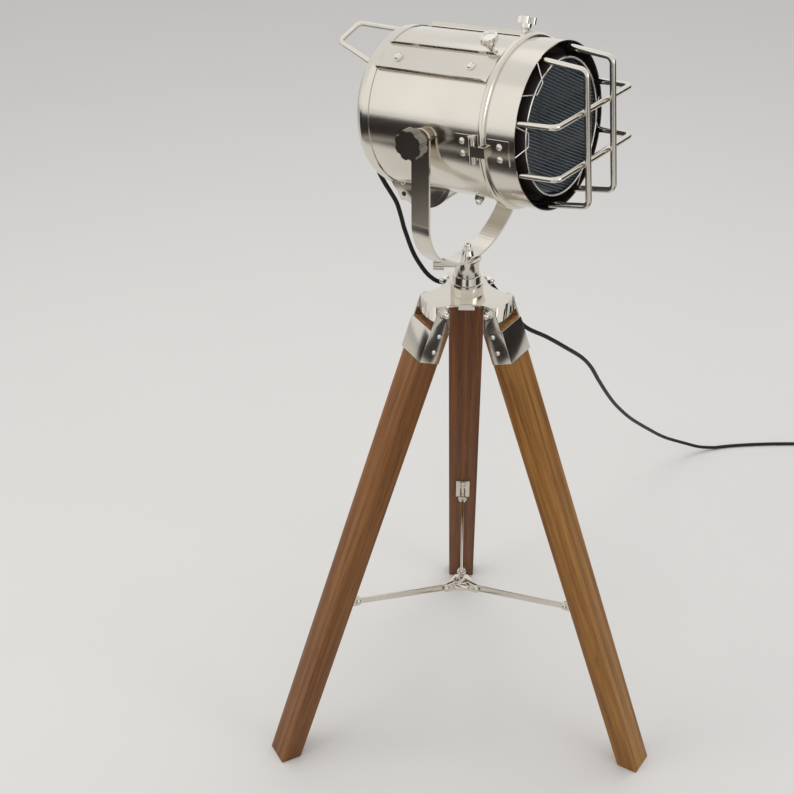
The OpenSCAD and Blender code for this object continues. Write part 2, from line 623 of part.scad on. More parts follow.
module lens() color(glass_blue) at_head() {
    rod_x(lens_x + 1.2, 4, lens_r + 0.8);
    for (i = [-18 : 18]) let (z = i * 4, half = sqrt(lens_r * lens_r - z * z) - 1)
        translate([lens_x + 5, 0, z]) rod_y(-half, 2 * half, 1.7);
}

module lens_clips() color(nickel) at_head() for (turn = [55, 110, 235, 290]) rotate([turn, 0, 0])
    rotate([90, 0, 0]) wire([[lens_x + 8.6, lens_r - 6], [lens_x + 10.6, lens_r + 9], [lens_x + 1.2, lens_r + 9]],
        1.2, 3, 8);

// upright guard wire on each side: out of the hood, down the front and back
module guard_uprights() color(nickel) at_head() for (side = [-1, 1]) let (y = side * guard_side,
    z = sqrt(pow(hood_r - sheet_t, 2) - y * y) - guard_wire_r, x = guard_front + 2 * guard_wire_r)
    translate([0, y, 0]) rotate([90, 0, 0])
        wire([[hood_front - 14, z], [x, z - 11], [x, 11 - z], [hood_front - 14, -z]], guard_wire_r, 9);

// level guard wires, above and below the axis
module guard_levels() color(nickel) at_head() for (side = [-1, 1]) let (z = side * guard_level,
    y = sqrt(pow(hood_r - sheet_t, 2) - z * z) - guard_wire_r, x = guard_front)
    translate([0, 0, z])
        wire([[hood_front - 14, -y], [x, 5 - y], [x, y - 5], [hood_front - 14, y]], guard_wire_r, 9);

// ---- cord ----

module gland() color(black) at_head() translate([-drum_back - cap_h - 0.5, -30, -62]) {
    rod_x(-4, 4, 8.5);
    rod_x(-11, 11, 6);
}

module cord_upper() color(black) tube(spline(cord_hang, 4), cord_r, 8, [0.6, 0.8, 0.1]);

module cord_lower() color(black) tube(spline(cord_drop, 3), cord_r, 8, [0.2, 0.9, 0.4]);

module cord_free() color(black) tube(spline(cord_run, 4), cord_r, 8, [1, -0.8, 0]);

module cord_rest() color(black) tube(spline(cord_floor, 3), cord_r, 8, [0, 0, 1]);

coil_path = concat([for (i = [0 : 24 * coil_turns]) let (a = 90 - 15 * i)
    [coil_at.x + coil_r * cos(a), coil_at.y + coil_r * sin(a), coil_z + coil_pitch * i / 24]],
    [for (p = coil_out) [coil_at.x + p.x, coil_at.y + p.y, p.z]]);

module cord_coil() color(black) tube(coil_path, cord_r, 6, [0, 0, 1]);

// flat tie round the turns of the coil, on the side away from where the cord comes in
module cord_tie() color([0.2, 0.2, 0.2]) translate([coil_at.x - 4, coil_at.y - coil_r, 0.1]) difference() {
    translate([0, -cord_r - 1.2, 0]) cube([8, cord_d + 2.4, tie_h]);
    translate([-1, -cord_r - 0.2, 1.1]) cube([10, cord_d + 0.4, tie_h - 2.2]);
}

module plug() color(black) translate([coil_at.x + plug_at.x, coil_at.y + plug_at.y, plug_r]) rotate([0, 0, -29]) {
    rod_x(0, 8, 6);
    rod_x(8, 34, plug_r);
    for (y = [-6, 6]) translate([0, y, 0]) rod_x(40, 20, 2.4);
}

// distance of each coil point from the points of the turns beside it
coil_gap = min([for (i = [0 : len(coil_path) - 1]) for (k = [i + 12 : 1 : len(coil_path) - 1])
    norm(coil_path[i] - coil_path[k])]) - cord_d;
echo("least gap of the coil to itself, mm", coil_gap);
echo("cord length, mm", path_len(cord_hang) + path_len(cord_drop) + path_len(cord_run) + path_len(cord_floor)
    + path_len(coil_path));
echo("brace pin from the axis and from the floor, mm", pin_r_world, pin_z_world);

hub_plate();
post();
cord_clip();
pan_screw();
leg(leg_turns[0], teak);  // left_leg
leg_plates(leg_turns[0]);  // left_plates
leg_bolts(leg_turns[0]);  // left_bolts
leg_bracket(leg_turns[0]);  // left_bracket
leg(leg_turns[1], teak);  // right_leg
leg_plates(leg_turns[1]);  // right_plates
leg_bolts(leg_turns[1]);  // right_bolts
leg_bracket(leg_turns[1]);  // right_bracket
leg(leg_turns[2], rear_teak);  // rear_leg
leg_plates(leg_turns[2]);  // rear_plates
leg_bolts(leg_turns[2]);  // rear_bolts
leg_bracket(leg_turns[2]);  // rear_bracket
brace_arm(leg_turns[0]);  // left_arm
brace_arm(leg_turns[1]);  // right_arm
brace_arm(leg_turns[2]);  // rear_arm
brace_hub();
brace_screws();
yoke();
spindle();
yoke_nut();
yoke_stop();
drum();
rear_cap();
rear_handle();
rail(1);  // near_rail
rail(-1);  // far_rail
rail_bolts();
top_screw(1);  // near_top_screw
top_screw(-1);  // far_top_screw
housing();
under_nut();
pivot_bolts();
knob(1);  // near_knob
knob(0);  // far_knob
reflector();
lamp_holder();
bulb();
body_leaf();
hinge_pin();
hood_leaf();
hood();
bead();
lens_seat();
lens();
lens_clips();
guard_uprights();
guard_levels();
gland();
cord_upper();
cord_lower();
cord_free();
cord_rest();
cord_coil();
cord_tie();
plug();
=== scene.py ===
import json
import math

import bpy
from mathutils import Matrix, Vector


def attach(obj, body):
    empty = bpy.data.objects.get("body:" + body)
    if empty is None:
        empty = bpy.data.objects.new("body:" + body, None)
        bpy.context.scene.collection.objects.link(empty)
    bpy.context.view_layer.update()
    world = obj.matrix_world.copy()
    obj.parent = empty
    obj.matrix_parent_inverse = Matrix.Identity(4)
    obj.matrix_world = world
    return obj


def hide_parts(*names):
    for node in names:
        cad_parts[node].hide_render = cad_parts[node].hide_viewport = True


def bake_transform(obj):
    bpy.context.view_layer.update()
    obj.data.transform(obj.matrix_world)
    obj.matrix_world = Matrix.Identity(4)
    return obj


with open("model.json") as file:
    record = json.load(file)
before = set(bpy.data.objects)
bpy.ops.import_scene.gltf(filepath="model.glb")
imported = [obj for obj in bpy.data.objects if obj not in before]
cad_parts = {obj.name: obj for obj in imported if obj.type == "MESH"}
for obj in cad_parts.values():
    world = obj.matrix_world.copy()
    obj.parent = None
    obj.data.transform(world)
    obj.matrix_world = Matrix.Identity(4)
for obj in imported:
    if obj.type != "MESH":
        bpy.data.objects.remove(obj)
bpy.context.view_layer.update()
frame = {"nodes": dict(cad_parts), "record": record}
nodes = frame["nodes"]
bodyOf = {name: body for body, names in frame["record"]["behaviour"]["bodies"].items() for name in names}
slotOf = {row["node"]: row["material_slot"] for row in frame["record"]["subparts"]}
print("frame loaded:", len(nodes), "nodes")

# camera where the photograph was taken from
photoCamera = {"place": (-0.00523, -1.80067, 1.65344), "turn": (58.5994, 0.4564, 2.6571), "lens": 66.488, "near": 0.05}
bpy.ops.object.camera_add(location=photoCamera["place"], rotation=[math.radians(a) for a in photoCamera["turn"]])
camera = bpy.context.object
camera.data.lens = photoCamera["lens"]
camera.data.clip_start = photoCamera["near"]
bpy.context.scene.camera = camera


def clearSelection():
    if bpy.context.object and bpy.context.object.mode != "OBJECT":
        bpy.ops.object.mode_set(mode="OBJECT")
    bpy.ops.object.select_all(action="DESELECT")


def only(piece):
    clearSelection()
    piece.select_set(True)
    bpy.context.view_layer.objects.active = piece


# the object's place, turn and scale go into its mesh
def settle(piece):
    only(piece)
    bpy.ops.object.transform_apply(location=True, rotation=True, scale=True)
    return piece


def applyAll(piece):
    only(piece)
    for mod in list(piece.modifiers):
        bpy.ops.object.modifier_apply(modifier=mod.name)
    return piece


def smooth(piece, angle=35):
    only(piece)
    bpy.ops.object.shade_smooth_by_angle(angle=math.radians(angle))
    return piece


# a finished piece gets its name, material and body, and the nodes it stands for are hidden
def dress(piece, name, body, material, slot, *replaced):
    piece.name = name
    piece.data.name = name
    piece.data.materials.clear()
    piece.data.materials.append(material)
    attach(piece, body)
    if replaced:
        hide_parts(*replaced)
    return piece


def joined(pieces):
    clearSelection()
    for piece in pieces:
        piece.select_set(True)
    bpy.context.view_layer.objects.active = pieces[0]
    bpy.ops.object.join()
    return bpy.context.object


# doubles merged, then faces turned outwards
def closeUp(piece):
    only(piece)
    bpy.ops.object.mode_set(mode="EDIT")
    bpy.ops.mesh.select_all(action="SELECT")
    bpy.ops.mesh.remove_doubles(threshold=0.00001)
    bpy.ops.mesh.normals_make_consistent(inside=False)
    bpy.ops.object.mode_set(mode="OBJECT")
    return piece


def bevelled(piece, width, angle=30):
    mod = piece.modifiers.new("edge", "BEVEL")
    mod.width, mod.segments = width, 2
    mod.limit_method, mod.angle_limit = "ANGLE", math.radians(angle)
    return applyAll(piece)


# the head's own frame: X forward along the drum, Y to the far side, Z up, from the tilt pivot
headPlace = {"turn": 33.7, "tilt": 4.9, "pivotZ": 0.98205}
headMatrix = (Matrix.Rotation(math.radians(-headPlace["turn"]), 4, "Z")
    @ Matrix.Translation((0, 0, headPlace["pivotZ"])) @ Matrix.Rotation(math.radians(-headPlace["tilt"]), 4, "Y"))


# from the head's frame, after a turn or shift of the piece in it, to its place in the room
def ontoHead(piece, local=Matrix.Identity(4)):
    settle(piece)
    piece.matrix_world = headMatrix @ local
    return settle(piece)


# a round bar between two places, tapered where a second radius is given
def rod(start, end, radius, sides=24, endRadius=None):
    a, b = Vector(start), Vector(end)
    bpy.ops.mesh.primitive_cone_add(vertices=sides, radius1=radius, radius2=radius if endRadius is None else endRadius,
        depth=(b - a).length, location=(a + b) / 2, rotation=(b - a).to_track_quat("Z", "Y").to_euler())
    return settle(bpy.context.object)


class Shade:
    def __init__(self, maker, socket):
        self.maker, self.socket = maker, socket

    def math(self, operation, a, b):
        return self.maker.add("ShaderNodeMath", {"operation": operation}, {0: a, 1: b})

    def __add__(self, other): return self.math("ADD", self, other)
    def __radd__(self, other): return self.math("ADD", other, self)
    def __sub__(self, other): return self.math("SUBTRACT", self, other)
    def __rsub__(self, other): return self.math("SUBTRACT", other, self)
    def __mul__(self, other): return self.math("MULTIPLY", self, other)
    def __rmul__(self, other): return self.math("MULTIPLY", other, self)


class Finish:
    def __init__(self, name):
        self.material = bpy.data.materials.new(name)
        self.material.use_nodes = True
        self.tree = self.material.node_tree
        self.shader = self.tree.nodes["Principled BSDF"]

    # a node of any kind: its settings first, then values or links for its sockets
    def add(self, kind, settings=None, sockets=None, out=0):
        node = self.tree.nodes.new(kind)
        for key, value in (settings or {}).items():
            if key == "stops":
                ramp = node.color_ramp.elements
                while len(ramp) < len(value):
                    ramp.new(0.5)
                for stop, (place, colour) in zip(ramp, value):
                    stop.position, stop.color = place, (*colour, 1)
            else:
                setattr(node, key, value)
        for key, value in (sockets or {}).items():
            self.put(node.inputs[key], value)
        return Shade(self, node.outputs[out])

    def put(self, socket, value):
        if isinstance(value, Shade):
            self.tree.links.new(value.socket, socket)
        elif hasattr(value, "__len__") and len(value) < len(socket.default_value):
            socket.default_value = (*value, 1)  # a colour given without its alpha
        else:
            socket.default_value = value

    def set(self, **sockets):
        for key, value in sockets.items():
            self.put(self.shader.inputs[key.replace("_", " ")], value)

    def place(self):
        return self.add("ShaderNodeTexCoord", out="Object")

    def mapped(self, scale=(1, 1, 1), turn=(0, 0, 0), shift=(0, 0, 0), source=None):
        return self.add("ShaderNodeMapping", {"vector_type": "TEXTURE"}, {"Vector": source or self.place(),
            "Scale": scale, "Rotation": [math.radians(a) for a in turn], "Location": shift})

    def noise(self, vector, scale, detail=3, rough=0.5):
        return self.add("ShaderNodeTexNoise", {}, {"Vector": vector, "Scale": scale, "Detail": detail,
            "Roughness": rough})

    def ramp(self, value, *stops):
        return self.add("ShaderNodeValToRGB", {"stops": stops}, {"Fac": value})

    def mix(self, share, a, b):
        return self.add("ShaderNodeMix", {"data_type": "RGBA"}, {"Factor": share, 6: a, 7: b}, 2)

    def bump(self, height, strength, distance):
        return self.add("ShaderNodeBump", {}, {"Height": height, "Strength": strength, "Distance": distance})


# the cord's sizes and routes in metres, as the solids have them
cordSizes = {"radius": 0.0032, "coilRadius": 0.038, "coilPitch": 0.0072, "turns": 3, "coilAt": (0.8, 0.7),
    "coilZ": 0.0046, "coilSteps": 48}
headRoute = [(-.115, .041, .910), (-.1195, .0435, .908), (-.123, .046, .9005), (-.1235, .047, .8905),
    (-.121, .0465, .880), (-.114, .047, .865), (-.106, .049, .850), (-.098, .052, .833), (-.0925, .0535, .813),
    (-.089, .0545, .797)]
yokeRoute = [(-.0889, .0545, .7965), (-.086, .055, .787), (-.080, .057, .767), (-.074, .060, .750),
    (-.066, .063, .734), (-.058, .065, .721), (-.050, .0675, .7115), (-.041, .0702, .7045), (-.030, .0735, .7016),
    (-.015, .078, .7028), (-.0004, .0819, .704)]
fallRoute = [(0, .082, .704), (.016, .0863, .7042), (.032, .091, .694), (.048, .097, .670), (.067, .104, .640),
    (.088, .110, .611), (.122, .140, .578), (.155, .175, .540), (.183, .213, .502), (.202, .245, .466),
    (.220, .285, .418), (.244, .345, .354), (.268, .403, .296), (.304, .480, .223), (.350, .570, .144),
    (.395, .640, .080), (.446, .690, .034), (.480, .710, .013), (.513, .722, .0042)]
floorRoute = [(.513, .722, .0042), (.540, .730, .0032), (.585, .737, .0032), (.640, .742, .0032),
    (.700, .744, .0032), (.750, .7425, .0034), (.782, .7395, .0042), (.800, .738, .0046)]
leadOut = [(.820, .739, .0266), (.845, .738, .021), (.866, .733, .012), (.885, .725, .0105), (.902, .716, .011)]


def curveThrough(points, parts):
    line = []
    p = [Vector(q) for q in points]
    for i in range(len(p) - 1):
        a, b, c, d = p[max(i - 1, 0)], p[i], p[i + 1], p[min(i + 2, len(p) - 1)]
        for k in range(parts):
            t = k / parts
            line.append(0.5 * (2 * b + (c - a) * t + (2 * a - 5 * b + 4 * c - d) * t * t
                + (3 * b - a - 3 * c + d) * t ** 3))
    return line + [p[-1]]


def lengthOf(line):
    return sum((Vector(b) - Vector(a)).length for a, b in zip(line, line[1:]))


def coilRound(sizes):
    line = []
    for i in range(sizes["coilSteps"] * sizes["turns"] + 1):
        part = i / sizes["coilSteps"]
        a = math.radians(90 - 360 * part)
        line.append(Vector((sizes["coilAt"][0] + sizes["coilRadius"] * math.cos(a),
            sizes["coilAt"][1] + sizes["coilRadius"] * math.sin(a), sizes["coilZ"] + sizes["coilPitch"] * part)))
    return line


# a round tube along a line, with its thickness scaled by widths where they are given
def tubeAlong(name, line, radius, sides=16, widths=None):
    data = bpy.data.curves.new(name, "CURVE")
    data.dimensions = "3D"
    data.bevel_depth = radius
    data.bevel_resolution = sides // 4 - 1
    data.use_fill_caps = True
    spline = data.splines.new("POLY")
    spline.points.add(len(line) - 1)
    for i, (point, q) in enumerate(zip(spline.points, line)):
        point.co = (*q, 1)
        point.radius = widths[i] if widths else 1
    piece = bpy.data.objects.new(name, data)
    bpy.context.collection.objects.link(piece)
    only(piece)
    bpy.ops.object.convert(target="MESH")
    return smooth(bpy.context.object, 50)


def cordRubber():
    f = Finish("cordRubber")
    fine = f.noise(f.place(), 900, 2)
    soft = f.noise(f.place(), 40, 3)
    f.set(Base_Color=f.mix(soft, (0.010, 0.010, 0.011), (0.020, 0.019, 0.018)), Roughness=0.46 + 0.16 * soft,
        Normal=f.bump(fine, 0.12, 0.0002), Specular_IOR_Level=0.22)
    return f.material


rubber = cordRubber()
cordRadius = cordSizes["radius"]
coilLine = coilRound(cordSizes)
headLine = curveThrough(headRoute, 6)
yokeLine = curveThrough(yokeRoute, 6)
restLine = (curveThrough(fallRoute, 6)[:-1] + curveThrough(floorRoute, 4)[:-1] + coilLine
    + curveThrough([coilLine[-1]] + leadOut, 4)[1:])

headCord = tubeAlong("headCord", headLine, cordRadius)
yokeCord = tubeAlong("yokeCord", yokeLine, cordRadius)
for piece, node, route, first, last in ((headCord, "cord_upper", headRoute, "head", "yoke"),
        (yokeCord, "cord_lower", yokeRoute, "yoke", "stand")):
    piece.data.materials.append(rubber)
    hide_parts(node)
    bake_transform(piece)
restCord = dress(tubeAlong("restCord", restLine, cordRadius), "restCord", "stand", rubber, "black_cord",
    "cord_free", "cord_rest", "cord_coil")

# tapered strain relief on the cap, over the start of the cord: a collar, a taper and rings on it
relief = {"place": (-0.1126, -0.03, -0.062), "length": 0.032, "start": 0.0066, "end": 0.0041, "collar": 0.0085,
    "collarDepth": 0.004, "collarEdge": 0.0008, "ringDepth": 0.0016, "ringOver": 1.14, "ringEdge": 0.0004,
    "ringEvery": 3}
reliefRoot = headMatrix @ Vector(relief["place"])
reliefLine, along = [reliefRoot], 0
for q in headLine:
    along += (q - reliefLine[-1]).length
    if along > relief["length"]:
        break
    reliefLine.append(q)
reliefSteps = len(reliefLine) - 1
spread = [relief["start"] + (relief["end"] - relief["start"]) * i / reliefSteps for i in range(reliefSteps + 1)]
backwards = headMatrix.to_3x3() @ Vector((-1, 0, 0))
reliefParts = [tubeAlong("reliefTaper", reliefLine, relief["start"], 24, [w / relief["start"] for w in spread]),
    bevelled(rod(reliefRoot, reliefRoot + backwards * relief["collarDepth"], relief["collar"], 40),
        relief["collarEdge"])]
for k in range(2, reliefSteps - 1, relief["ringEvery"]):
    onward = (reliefLine[k + 1] - reliefLine[k]).normalized()
    reliefParts.append(bevelled(rod(reliefLine[k], reliefLine[k] + onward * relief["ringDepth"],
        spread[k] * relief["ringOver"], 32), relief["ringEdge"]))
dress(smooth(joined(reliefParts)), "strainRelief", "head", rubber, "black_cord", "gland")

print("cords:", round(lengthOf(headLine) + lengthOf(yokeLine) + lengthOf(restLine), 3), "m")


# polished plate with long faint brushing and small changes of tone
def plateMetal(name, colour, shadeColour, rough, brush=(1, 1, 1), turn=(0, 0, 0)):
    f = Finish(name)
    broad = f.noise(f.place(), 9, 2)
    lines = f.noise(f.mapped(brush, turn), 60, 4, 0.65)
    specks = f.noise(f.place(), 700, 2, 0.7)
    f.set(Base_Color=f.mix(f.ramp(broad, (0.35, (0, 0, 0)), (0.7, (1, 1, 1))), colour, shadeColour),
        Metallic=1.0, Roughness=rough + 0.10 * lines * broad + 0.03 * specks,
        Normal=f.bump(lines * 0.7 + specks * 0.3, 0.05, 0.0004))
    return f.material


# where the wood's grain lies: a leg's lean in degrees, its bolt's distance from the middle and height in metres
legGrain = {"lean": 20.2, "boltOut": 0.051, "boltUp": 0.716}


# wood with its grain along a leg: heartwood figure, dark streaks and fine pores
def legWood(name, turn, pale, mid, dark, seed):
    f = Finish(name)
    bolt = (legGrain["boltOut"] * math.cos(math.radians(turn)), legGrain["boltOut"] * math.sin(math.radians(turn)),
        legGrain["boltUp"])
    local = f.mapped(turn=(0, -legGrain["lean"], turn), shift=bolt)
    drift = f.noise(f.mapped((0.14, 0.14, 1.6), source=local, shift=(seed, 0, 0)), 2.2, 3)
    figure = f.add("ShaderNodeTexWave", {"wave_type": "BANDS", "bands_direction": "Y", "wave_profile": "SIN"},
        {"Vector": f.mapped((1, 1, 14), source=local, shift=(0, seed, 0)), "Scale": 17, "Distortion": 7.5,
            "Detail": 3, "Detail Scale": 1.6, "Detail Roughness": 0.6}, "Fac")
    streaks = f.noise(f.mapped((0.02, 0.02, 0.9), source=local, shift=(seed, seed, 0)), 4.5, 5, 0.6)
    pores = f.noise(f.mapped((0.0016, 0.0016, 0.05), source=local), 1.2, 2, 0.5)
    tone = 0.22 * figure + 0.75 * streaks + 0.35 * drift - 0.14
    colour = f.ramp(tone, (0.22, dark), (0.47, mid), (0.74, pale))
    poreMask = f.ramp(pores, (0.32, (1, 1, 1)), (0.42, (0, 0, 0)))
    f.set(Base_Color=f.mix(poreMask * 0.45, colour, [c * 0.35 for c in dark]), Roughness=0.40 + 0.22 * streaks,
        Normal=f.bump(0.6 * pores + 0.4 * streaks, 0.10, 0.0006), Coat_Weight=0.05, Coat_Roughness=0.3,
        Specular_IOR_Level=0.28)
    return f.material


# one tone drifting into another, with the roughness going with it, and a fine bump where depth is given
def driftingFinish(name, scale, detail, first, second, rough, spread, depth=0, **fixed):
    f = Finish(name)
    drift = f.noise(f.place(), scale, detail)
    f.set(Base_Color=f.mix(drift, first, second), Roughness=rough + spread * drift, **fixed)
    if depth:
        f.set(Normal=f.bump(drift, 0.1, depth))
    return f.material


nickel = plateMetal("nickel", (0.74, 0.70, 0.625), (0.68, 0.64, 0.565), 0.12)
drumNickel = plateMetal("drumNickel", (0.74, 0.70, 0.625), (0.67, 0.63, 0.555), 0.13,
    brush=(1, 0.02, 1), turn=(0, 0, -headPlace["turn"]))
brightNickel = plateMetal("brightNickel", (0.80, 0.775, 0.72), (0.74, 0.715, 0.66), 0.08)
darkNickel = plateMetal("darkNickel", (0.36, 0.335, 0.30), (0.29, 0.27, 0.24), 0.2)
leftWood = legWood("leftWood", 210, (0.30, 0.128, 0.036), (0.20, 0.078, 0.020), (0.10, 0.036, 0.010), 1.3)
rightWood = legWood("rightWood", 330, (0.44, 0.210, 0.050), (0.31, 0.136, 0.028), (0.165, 0.060, 0.013), 4.1)
rearWood = legWood("rearWood", 90, (0.21, 0.078, 0.022), (0.145, 0.050, 0.014), (0.07, 0.022, 0.007), 7.7)
glass = driftingFinish("darkGlass", 14, 2, (0.006, 0.016, 0.026), (0.010, 0.026, 0.038), 0.10, 0.06,
    IOR=1.5, Coat_Weight=0.3, Coat_Roughness=0.05)
# dark brown: the lens seat's own paint, and on the disks over the plates' holes it is painted shade
brown = driftingFinish("brownPaintAndHoleShade", 300, 3, (0.014, 0.010, 0.009), (0.026, 0.018, 0.015), 0.45, 0.15, 0.0002)
mirror = driftingFinish("brightReflector", 20, 2, (0.86, 0.86, 0.86), (0.78, 0.78, 0.79), 0.12, 0.1, Metallic=1.0)
frosted = driftingFinish("frostedBulb", 60, 2, (0.90, 0.88, 0.84), (0.84, 0.82, 0.79), 0.25, 0.2)
moulded = driftingFinish("mouldedHolder", 500, 3, (0.02, 0.02, 0.02), (0.05, 0.05, 0.05), 0.4, 0.2, 0.0002)

# nickel everywhere but on these
finishes = {name: nickel for name in nodes}
for material, names in (
        (leftWood, ["left_leg"]), (rightWood, ["right_leg"]), (rearWood, ["rear_leg"]),
        (drumNickel, ["drum", "rear_cap", "hood", "housing"]),
        (brightNickel, ["yoke_nut", "under_nut", "near_top_screw", "far_top_screw", "rail_bolts", "left_bolts",
            "right_bolts", "rear_bolts", "guard_uprights", "guard_levels", "rear_handle"]),
        (darkNickel, ["cord_clip", "spindle", "near_knob", "far_knob"]),
        (rubber, ["gland", "plug", "cord_tie"]),
        (glass, ["lens"]), (brown, ["lens_seat"]), (mirror, ["reflector"]), (frosted, ["bulb"]),
        (moulded, ["lamp_holder"])):
    finishes.update({name: material for name in names})
for name, material in finishes.items():
    if not nodes[name].hide_render:
        for spot in nodes[name].material_slots:
            spot.material = material
print("finishes set")


# a merged copy of a CAD node with its edges eased, for cleaner light along them
def easedCopy(name, width):
    source = nodes[name]
    piece = source.copy()
    piece.data = source.data.copy()
    piece.parent = None
    piece.matrix_world = Matrix.Identity(4)
    for key in list(piece.keys()):
        if key.startswith("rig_"):
            del piece[key]
    bpy.context.collection.objects.link(piece)
    only(piece)
    bpy.ops.object.mode_set(mode="EDIT")
    bpy.ops.mesh.select_all(action="SELECT")
    bpy.ops.mesh.remove_doubles(threshold=0.00002)
    bpy.ops.mesh.dissolve_limited(angle_limit=math.radians(1.0))
    bpy.ops.object.mode_set(mode="OBJECT")
    smooth(bevelled(piece, width, 32), 40)
    return dress(piece, name + "Eased", bodyOf[name], finishes[name], slotOf[name], name)


easeWidths = {"left_leg": 0.0016, "right_leg": 0.0016, "rear_leg": 0.0016, "hub_plate": 0.0005, "post": 0.0006,
    "left_plates": 0.0004, "right_plates": 0.0004, "rear_plates": 0.0004, "left_arm": 0.0004, "right_arm": 0.0004,
    "rear_arm": 0.0004, "housing": 0.001, "near_rail": 0.0003, "far_rail": 0.0003, "brace_hub": 0.0005,
    "plug": 0.0012}
for name, width in easeWidths.items():
    easedCopy(name, width)
print("eased copies made")


# corner points joined by straight bars and round bends
def bentLine(corners, bend, parts=8):
    p = [Vector(c) for c in corners]
    line = [p[0]]
    for a, b, c in zip(p, p[1:], p[2:]):
        u, v = (a - b).normalized(), (c - b).normalized()
        half = u.angle(v) / 2
        middle = b + (u + v).normalized() * bend / math.sin(half)
        first, last = b + u * bend / math.tan(half) - middle, b + v * bend / math.tan(half) - middle
        sweep = math.pi - 2 * half
        for i in range(parts + 1):
            t = i / parts
            line.append(middle + (math.sin(sweep * (1 - t)) * first + math.sin(sweep * t) * last) / math.sin(sweep))
    return line + [p[-1]]


# a ring round the drum's axis, spun from a small upright rectangle
def spunRing(x, depth, inner, outer, steps=128):
    bpy.ops.mesh.primitive_plane_add(size=1, location=(x + depth / 2, 0, (inner + outer) / 2),
        rotation=(math.pi / 2, 0, 0))
    ring = bpy.context.object
    ring.scale = (depth, outer - inner, 1)
    settle(ring)
    bpy.ops.object.mode_set(mode="EDIT")
    bpy.ops.mesh.select_all(action="SELECT")
    bpy.ops.mesh.delete(type="ONLY_FACE")
    bpy.ops.mesh.select_all(action="SELECT")
    bpy.ops.mesh.spin(steps=steps, angle=2 * math.pi, center=(0, 0, 0), axis=(1, 0, 0))
    bpy.ops.object.mode_set(mode="OBJECT")
    return closeUp(ring)


# the hood's inside: a plate with a barrel on it, a dark lining on the hood's wall, and the ribbed glass
front = {"plateX": 0.0972, "plateDepth": 0.0012, "plateInner": 0.078, "plateOuter": 0.1032, "barrelInner": 0.0829,
    "barrelOuter": 0.0862, "barrelFront": 0.1362, "edge": 0.0006, "wall": 0.1033, "lining": 0.0003,
    "liningDepth": 0.0342, "clear": 0.0001, "glassX": 0.1292, "glassRadius": 0.0828, "glassDepth": 0.004,
    "ribsEachWay": 19, "ribStep": 0.004, "ribRadius": 0.0022, "ribShort": 0.0012, "ribSunk": 0.0002, "ribTurn": -28}
plateFront = front["plateX"] + front["plateDepth"]
liningOuter = front["wall"] - front["clear"]
lensPlate = joined([spunRing(front["plateX"], front["plateDepth"], front["plateInner"], front["plateOuter"]),
    bevelled(spunRing(plateFront, front["barrelFront"] - plateFront, front["barrelInner"], front["barrelOuter"]),
        front["edge"]),
    spunRing(plateFront + 2 * front["clear"], front["liningDepth"], liningOuter - front["lining"], liningOuter)])
dress(smooth(ontoHead(lensPlate)), "lensPlate", "hood", brown, slotOf["lens_seat"], "lens_seat")

glassX, glassFront = front["glassX"], front["glassX"] + front["glassDepth"]
lensParts = [bevelled(rod((glassX, 0, 0), (glassFront, 0, 0), front["glassRadius"], 128), front["edge"])]
for i in range(-front["ribsEachWay"], front["ribsEachWay"] + 1):
    x, z = glassFront - front["ribSunk"], i * front["ribStep"]
    half = math.sqrt(front["glassRadius"] ** 2 - z * z) - front["ribShort"]
    lensParts.append(rod((x, -half, z), (x, half, z), front["ribRadius"], 20))
ribbedLens = ontoHead(joined(lensParts), Matrix.Rotation(math.radians(front["ribTurn"]), 4, "X"))
dress(smooth(ribbedLens, 60), "ribbedLens", "hood", glass, slotOf["lens"], "lens")

# bright ring on the barrel's rim and wire clips over it: each clip's turn from the top, half widths at foot and tip
retainer = {"ringRadius": 0.0846, "ringWire": 0.0012, "ringOut": 0.0006, "clipWire": 0.0009, "clipBend": 0.003,
    "footX": 0.1306, "footRadius": 0.1026, "tipOut": 0.0022, "tipRadius": 0.0812,
    "clips": ((39, 14, 6), (84, 11, 6), (219, 14, 6), (264, 11, 6))}


# a place on the hood's front, by its turn from the top towards the near side
def onFront(x, radius, turn):
    a = math.radians(turn)
    return (x, -radius * math.sin(a), radius * math.cos(a))


bpy.ops.mesh.primitive_torus_add(major_radius=retainer["ringRadius"], minor_radius=retainer["ringWire"],
    major_segments=128, minor_segments=12, location=(front["barrelFront"] + retainer["ringOut"], 0, 0),
    rotation=(0, math.pi / 2, 0))
clipWires = [settle(bpy.context.object)]
tipX = front["barrelFront"] + retainer["tipOut"]
for turn, wide, narrow in retainer["clips"]:
    corners = [onFront(retainer["footX"], retainer["footRadius"], turn + wide),
        onFront(tipX, retainer["tipRadius"], turn + narrow), onFront(tipX, retainer["tipRadius"], turn - narrow),
        onFront(retainer["footX"], retainer["footRadius"], turn - wide)]
    clipWires.append(tubeAlong("clipWire", bentLine(corners, retainer["clipBend"]), retainer["clipWire"], 12))
dress(smooth(ontoHead(joined(clipWires)), 50), "lensRetainer", "hood", brightNickel, slotOf["lens_clips"],
    "lens_clips")

